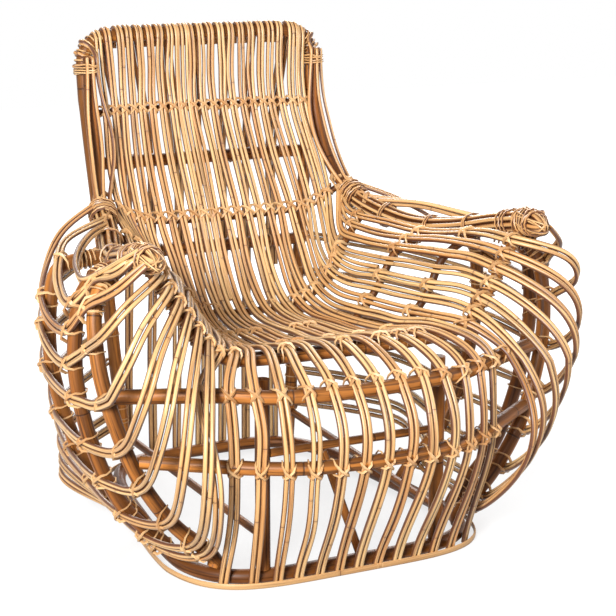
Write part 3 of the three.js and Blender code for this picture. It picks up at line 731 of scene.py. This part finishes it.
def placeOn(line, marks, mark):
    k = next((n for n in range(1, len(marks) - 1) if marks[n] >= mark), len(marks) - 1)
    share = (mark - marks[k - 1]) / (marks[k] - marks[k - 1])
    return line[k - 1].lerp(line[k], share), (line[k] - line[k - 1]).normalized()


def markAt(line, test):
    return next(m for m, p in zip(lengthsAlong(line), line) if test(p))


def squareTo(ahead, face):
    return (face - ahead * face.dot(ahead)).normalized()


def roundFrom(outward, ahead, angle):  # outward, turned about the line
    return outward * math.cos(angle) + ahead.cross(outward) * math.sin(angle)


def drawnIn(mark, length):  # canes and wraps draw in round the tip of the arm
    return 1 - laidLook["drawIn"] * max(0, 1 - (length - mark) / laidLook["drawLength"]) ** 2


def besidePole(line, start, end, radius, angle, faceFrom, faceTo, bow=0.0):  # a cane laid along a pole
    marks = lengthsAlong(line)
    count = max(laidLook["leastCuts"], round(abs(end - start) / poleLook["step"]))
    made = []
    for n in range(count + 1):
        share = n / count
        mark = start + (end - start) * share
        place, ahead = placeOn(line, marks, mark)
        face = faceFrom.lerp(faceTo, within(laidLook["turnRate"] * share - laidLook["turnStart"]))
        off = roundFrom(squareTo(ahead, face), ahead, angle)
        reach = radius * drawnIn(mark, marks[-1]) + bow * math.sin(math.pi * share) ** 2
        made.append(place + reach * off)
    if marks[-1] - end < laidLook["noseNear"]:  # gathered to a nose at the tip of the arm
        made += [place + share * reach * off + ahead * forward for share, forward in laidLook["nose"]]
    return made


def hookOver(near, sign, clear):  # the start of an edge cane, from behind the hoop over its corner
    outward = Vector((near.x - cornerLook["middle"] * sign * cornerLook["x"], 0, near.z - cornerLook["z"]))
    outward.normalize()
    back, rise = cornerLook["behind"]
    return [near - front * clear - outward * cornerLook["tail"],
            near - front * back * clear + outward * rise * clear,
            near + (outward + front * cornerLook["over"]).normalized() * clear, near + front * clear]


def layCanes(name, lines, axis):
    return makeTubes(name, lines, caneLook["radius"], caneLook["sides"], "cane", [thickFor(c) for c in lines],
                     faces=[outFrom(c, axis) for c in lines])


# wraps: thin cane wound round the joints, each with a start, an end, its turns and how far it stands off
wrapLook = {"radius": 0.0019, "sides": 6, "perTurn": 12, "slant": 0.003, "wobble": 0.0012, "bite": 0.9,
            "steep": 0.5, "knot": ((-0.012, 0.03, 7, 0.001), (0.024, -0.006, 3, 0.003)),
            "loops": (0.2, 0.42, 0.62), "loopLength": 0.010, "loopTurns": 2,
            "armEnd": ((0.105, 0.075, 3, 0.0), (0.060, 0.012, 6, 0.0), (0.015, 0.08, 2, 0.001)),
            "armTip": (0.022, 0.004, 2, 0.002), "rim": (0.04, 0.16, 12),
            "poles": (("side_pole_front_", 0.02, 0.09, 6), ("side_pole_middle_", 0.02, 0.05, 4),
                      ("side_pole_rear_", 0.02, 0.05, 4))}
tipLook = {"back": 0.045, "over": 0.016, "aside": 0.55, "cuts": 16,
           "angles": (0.1, 0.35, 0.9, 1.2, 1.75, 2.3, 2.6)}
lashLook = {"turns": 4, "start": 0.012, "pitch": 0.0045, "wide": 1.25}


def wobble():
    return dice.uniform(0, wrapLook["wobble"])


def wrapRound(line, start, end, turns, radius):  # a thin cane wound round a line
    marks = lengthsAlong(line)
    count = round(turns * wrapLook["perTurn"])
    slant = dice.uniform(-wrapLook["slant"], wrapLook["slant"])
    made = []
    for n in range(count + 1):
        turn = 2 * math.pi * n / wrapLook["perTurn"]
        mark = start + (end - start) * n / count + slant * math.sin(turn)
        place, ahead = placeOn(line, marks, mark)
        outward = squareTo(ahead, front if abs(ahead.y) < wrapLook["steep"] else up)
        reach = radius * drawnIn(mark, marks[-1]) + wobble()
        made.append(place + reach * roundFrom(outward, ahead, turn))
    return made


def overTip(line, radius, angle):  # a strip laid over the end of a line, from one side to the other
    ahead = (line[-1] - line[-2]).normalized()
    off = roundFrom(squareTo(ahead, up), ahead, angle)
    beside = ahead.cross(off) * (radius * dice.uniform(-tipLook["aside"], tipLook["aside"]))
    made = []
    for n in range(tipLook["cuts"] + 1):
        turn = math.pi * n / tipLook["cuts"]
        reach = (tipLook["back"] + tipLook["over"]) * math.sin(turn) - tipLook["back"]
        wide = radius * math.cos(turn) + wobble()
        made.append(line[-1] + ahead * reach + off * wide + beside * math.sin(turn))
    return made


def lashTogether(line, hoop):  # turns round an arm pole and the back hoop beside it
    marks = lengthsAlong(line)
    made = []
    for n in range(lashLook["turns"] * wrapLook["perTurn"] + 1):
        turns = n / wrapLook["perTurn"]
        place = placeOn(line, marks, lashLook["start"] + lashLook["pitch"] * turns)[0]
        other = min(hoop, key=lambda p: (p - place).length)
        between = (other - place).normalized()
        beside = between.cross(up).normalized()
        wide = poleRadii["back_hoop"] + wrapLook["radius"] + wobble()
        long = (other - place).length / 2 + wide + caneLook["radius"]
        off = between * (long * math.cos(2 * math.pi * turns))
        off += beside * (wide * lashLook["wide"] * math.sin(2 * math.pi * turns))
        made.append(place.lerp(other, 0.5) + off)
    return made


def finePole(name):
    return smoothThrough(poleLines[name], poleLook["fineStep"])


backLine = finePole("back_hoop")
for side in ("left", "right"):
    sign = 1 if side == "left" else -1
    arm = lifted(finePole("arm_pole_" + side))
    if arm[0].z < arm[-1].z:
        arm.reverse()
    armLength = lengthsAlong(arm)[-1]
    knot = markAt(arm, lambda p: p.z < knotLook["height"])
    laid = poleRadii["arm_pole_" + side] + caneLook["radius"]

    # canes down the edge of the back, from the top corner to the knot
    edges = []
    for n, angle in enumerate(edgeLook["angles"]):
        bow = edgeLook["bow"] * (1 + edgeLook["bowMore"] * n)
        edges.append(besidePole(arm, edgeLook["start"], knot + edgeLook["pastKnot"], laid, sign * angle,
                                front, front + up, bow))
    edges.sort(key=lambda cane: -sign * cane[3].x)  # outermost first, a few points down
    corner = [p for p in backLine if p.x * sign > cornerLook["x"] and p.z > cornerLook["z"]]
    if corner[0].z > corner[-1].z:
        corner.reverse()
    clear = poleRadii["back_hoop"] + caneLook["radius"]
    hooks = [hookOver(corner[round(share * (len(corner) - 1))], sign, clear) for share in cornerLook["hooks"]]
    edges = [smoothThrough(hook + cane, caneLook["step"]) for hook, cane in zip(hooks, edges)]
    layCanes("edge_canes_" + side, edges, arm)

    # canes along the arm: a pair on its top, two more down each flank and a few under its end
    start, end = knot - armCaneLook["beforeKnot"], armLength - armCaneLook["beforeTip"]
    armPair = [besidePole(arm, start, end, laid, angle, front + up, up) for angle in armCaneLook["pair"]]
    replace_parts(layCanes("canes_arm_canes_" + side, armPair, arm), "arm_canes_" + side)
    flanks = [besidePole(arm, start, end, laid, angle, front + up, up) for angle in armCaneLook["flanks"]]
    start = armLength - armCaneLook["underLength"]
    flanks += [besidePole(arm, start, end, laid, angle, up, up) for angle in armCaneLook["under"]]
    layCanes("arm_flank_canes_" + side, flanks, arm)

    # one more rib close under the arm
    ribPoints = [Vector((sign * x, y + shiftY, z)) for x, y, z in ribLook["points"]]
    ribLine = smoothThrough(ribPoints, poleLook["step"])
    x, y, z = ribLook["facing"]
    ribPair, outs = pairLines(ribLine, [Vector((sign * x, y, z)).normalized()] * len(ribLine), [])
    makeTubes("canes_upper_rib_" + side, ribPair, caneLook["radius"], caneLook["sides"], "cane",
              [thickFor(c) for c in ribPair], faces=outs)

    # wraps: knot, top corner, loops along the arm, its bound end, the rim and the side poles
    over = laid + wrapLook["bite"] * caneLook["radius"] + wrapLook["radius"]
    wraps = []
    for start, end, turns, off in wrapLook["knot"]:
        wraps.append(wrapRound(arm, knot + start, knot + end, turns, over + off))
    wraps.append(lashTogether(arm, backLine))
    cornerMarks = [m for m, p in zip(lengthsAlong(backLine), backLine) if p in corner]
    wraps.append(wrapRound(backLine, cornerMarks[0], cornerMarks[-1], cornerLook["turns"],
                           poleRadii["back_hoop"] + wrapLook["radius"]))
    for share in wrapLook["loops"]:
        at = knot + (armLength - knot) * share
        wraps.append(wrapRound(arm, at, at + wrapLook["loopLength"], wrapLook["loopTurns"], over))
    for start, end, turns, off in wrapLook["armEnd"]:
        wraps.append(wrapRound(arm, armLength - start, armLength - end, turns, over + off))
    wraps += [overTip(arm, over, angle) for angle in tipLook["angles"]]
    start, end, turns, off = wrapLook["armTip"]
    wraps.append(wrapRound(arm, armLength - start, armLength - end, turns, over + off))
    rim = finePole("crown_rail")
    if rim[0].x * sign < 0:
        rim.reverse()
    wraps.append(wrapRound(rim, *wrapLook["rim"], poleRadii["crown_rail"] + wrapLook["radius"]))
    axes = arm + backLine + rim
    for poleName, start, end, turns in wrapLook["poles"]:
        pole = finePole(poleName + side)
        if pole[0].z < pole[-1].z:
            pole.reverse()
        wraps.append(wrapRound(pole, start, end, turns, poleRadii[poleName + side] + wrapLook["radius"]))
        axes += pole
    makeTubes("wraps_" + side, wraps, wrapLook["radius"], wrapLook["sides"], "cane",
              faces=[outFrom(w, axes) for w in wraps])
print("loose canes and wraps made")

# floor, light and camera
stageLook = {"floorSize": 12.0, "floorCuts": 4, "floorZ": -0.0005, "floorColour": (0.25, 0.25, 0.25, 1),
             "floorRoughness": 0.9, "floorGloss": 0.1, "glowEdge": (0.5, 1.6), "glow": (0.74, 1.0),
             "sky": (0.2, 1.0),
             "lamps": (("keyLamp", (-2.2, -2.5, 1.65), (0, 0, 0.4), 0.9, 214.0),
                       ("fillLamp", (2.4, -1.4, 1.6), (0, 0, 0.35), 2.0, 34.0),
                       ("rearLamp", (1.4, 2.9, 2.0), (0, 0, 0.4), 2.0, 130.0))}  # place, target, size, power
white = (1, 1, 1, 1)


def seenShare(tree, x, y):  # 1 for what the camera sees, also in a gloss or through glass
    ray = addNode(tree, "ShaderNodeLightPath", (x, y)).outputs
    seen = mathNode(tree, "MAXIMUM", (x + 180, y), ray["Is Camera Ray"], ray["Is Glossy Ray"])
    return mathNode(tree, "MAXIMUM", (x + 300, y), seen, ray["Is Transmission Ray"])


deselectAll()
bpy.ops.mesh.primitive_grid_add(x_subdivisions=stageLook["floorCuts"], y_subdivisions=stageLook["floorCuts"],
                                size=stageLook["floorSize"], location=(0, 0, stageLook["floorZ"]))
floor = bpy.context.object
floor.name = "floor"
bpy.ops.object.transform_apply(location=True)
floorMaterial = bpy.data.materials.new("paleFloor")
floorMaterial.use_nodes = True
tree = floorMaterial.node_tree
floorShader = tree.nodes["Principled BSDF"]
floorShader.inputs["Base Color"].default_value = stageLook["floorColour"]
floorShader.inputs["Roughness"].default_value = stageLook["floorRoughness"]
floorShader.inputs["Specular IOR Level"].default_value = stageLook["floorGloss"]
spot = addNode(tree, "ShaderNodeTexCoord", (-1000, 200))
away = addNode(tree, "ShaderNodeVectorMath", (-800, 200), operation="LENGTH")
tree.links.new(spot.outputs["Object"], away.inputs[0])
fade = rangeNode(tree, (-600, 200), away.outputs["Value"], stageLook["glowEdge"], stageLook["glow"])
glow = addNode(tree, "ShaderNodeEmission", (-200, 300))
glow.inputs["Color"].default_value = white
strength = mathNode(tree, "MULTIPLY", (-400, 300), seenShare(tree, -700, 460), fade)
tree.links.new(strength, glow.inputs["Strength"])
both = addNode(tree, "ShaderNodeAddShader", (200, 200))
tree.links.new(floorShader.outputs[0], both.inputs[0])
tree.links.new(glow.outputs[0], both.inputs[1])
tree.links.new(both.outputs[0], tree.nodes["Material Output"].inputs["Surface"])
floor.data.materials.append(floorMaterial)

world = bpy.data.worlds.new("studio")
bpy.context.scene.world = world
world.use_nodes = True
tree = world.node_tree
sky = tree.nodes["Background"]
sky.inputs["Color"].default_value = white
skyLevel = rangeNode(tree, (-180, 200), seenShare(tree, -600, 200), (0.0, 1.0), stageLook["sky"], "LINEAR")
tree.links.new(skyLevel, sky.inputs["Strength"])

for name, place, target, size, power in stageLook["lamps"]:
    deselectAll()
    bpy.ops.object.light_add(type="AREA", location=place)
    lamp = bpy.context.object
    lamp.name = name
    lamp.data.size = size
    lamp.data.energy = power
    lamp.rotation_euler = (Vector(target) - Vector(place)).to_track_quat("-Z", "Y").to_euler()

cameraLook = {"azimuth": -25.87, "elevation": 13.415, "distance": 2.828, "target": (0, shiftY, 0.4),
              "lens": 99.53, "sensor": 36, "shiftX": 0.00334, "shiftY": -0.00404}
azimuth, elevation = math.radians(cameraLook["azimuth"]), math.radians(cameraLook["elevation"])
level = math.cos(elevation)
backward = Vector((math.sin(azimuth) * level, -math.cos(azimuth) * level, math.sin(elevation)))
deselectAll()
bpy.ops.object.camera_add(location=Vector(cameraLook["target"]) + backward * cameraLook["distance"])
camera = bpy.context.object
camera.rotation_euler = (-backward).to_track_quat("-Z", "Y").to_euler()
camera.data.lens = cameraLook["lens"]
camera.data.sensor_width = cameraLook["sensor"]
camera.data.shift_x = cameraLook["shiftX"]
camera.data.shift_y = cameraLook["shiftY"]
bpy.context.scene.camera = camera
bpy.context.scene.view_settings.view_transform = "Standard"
print("stage set")
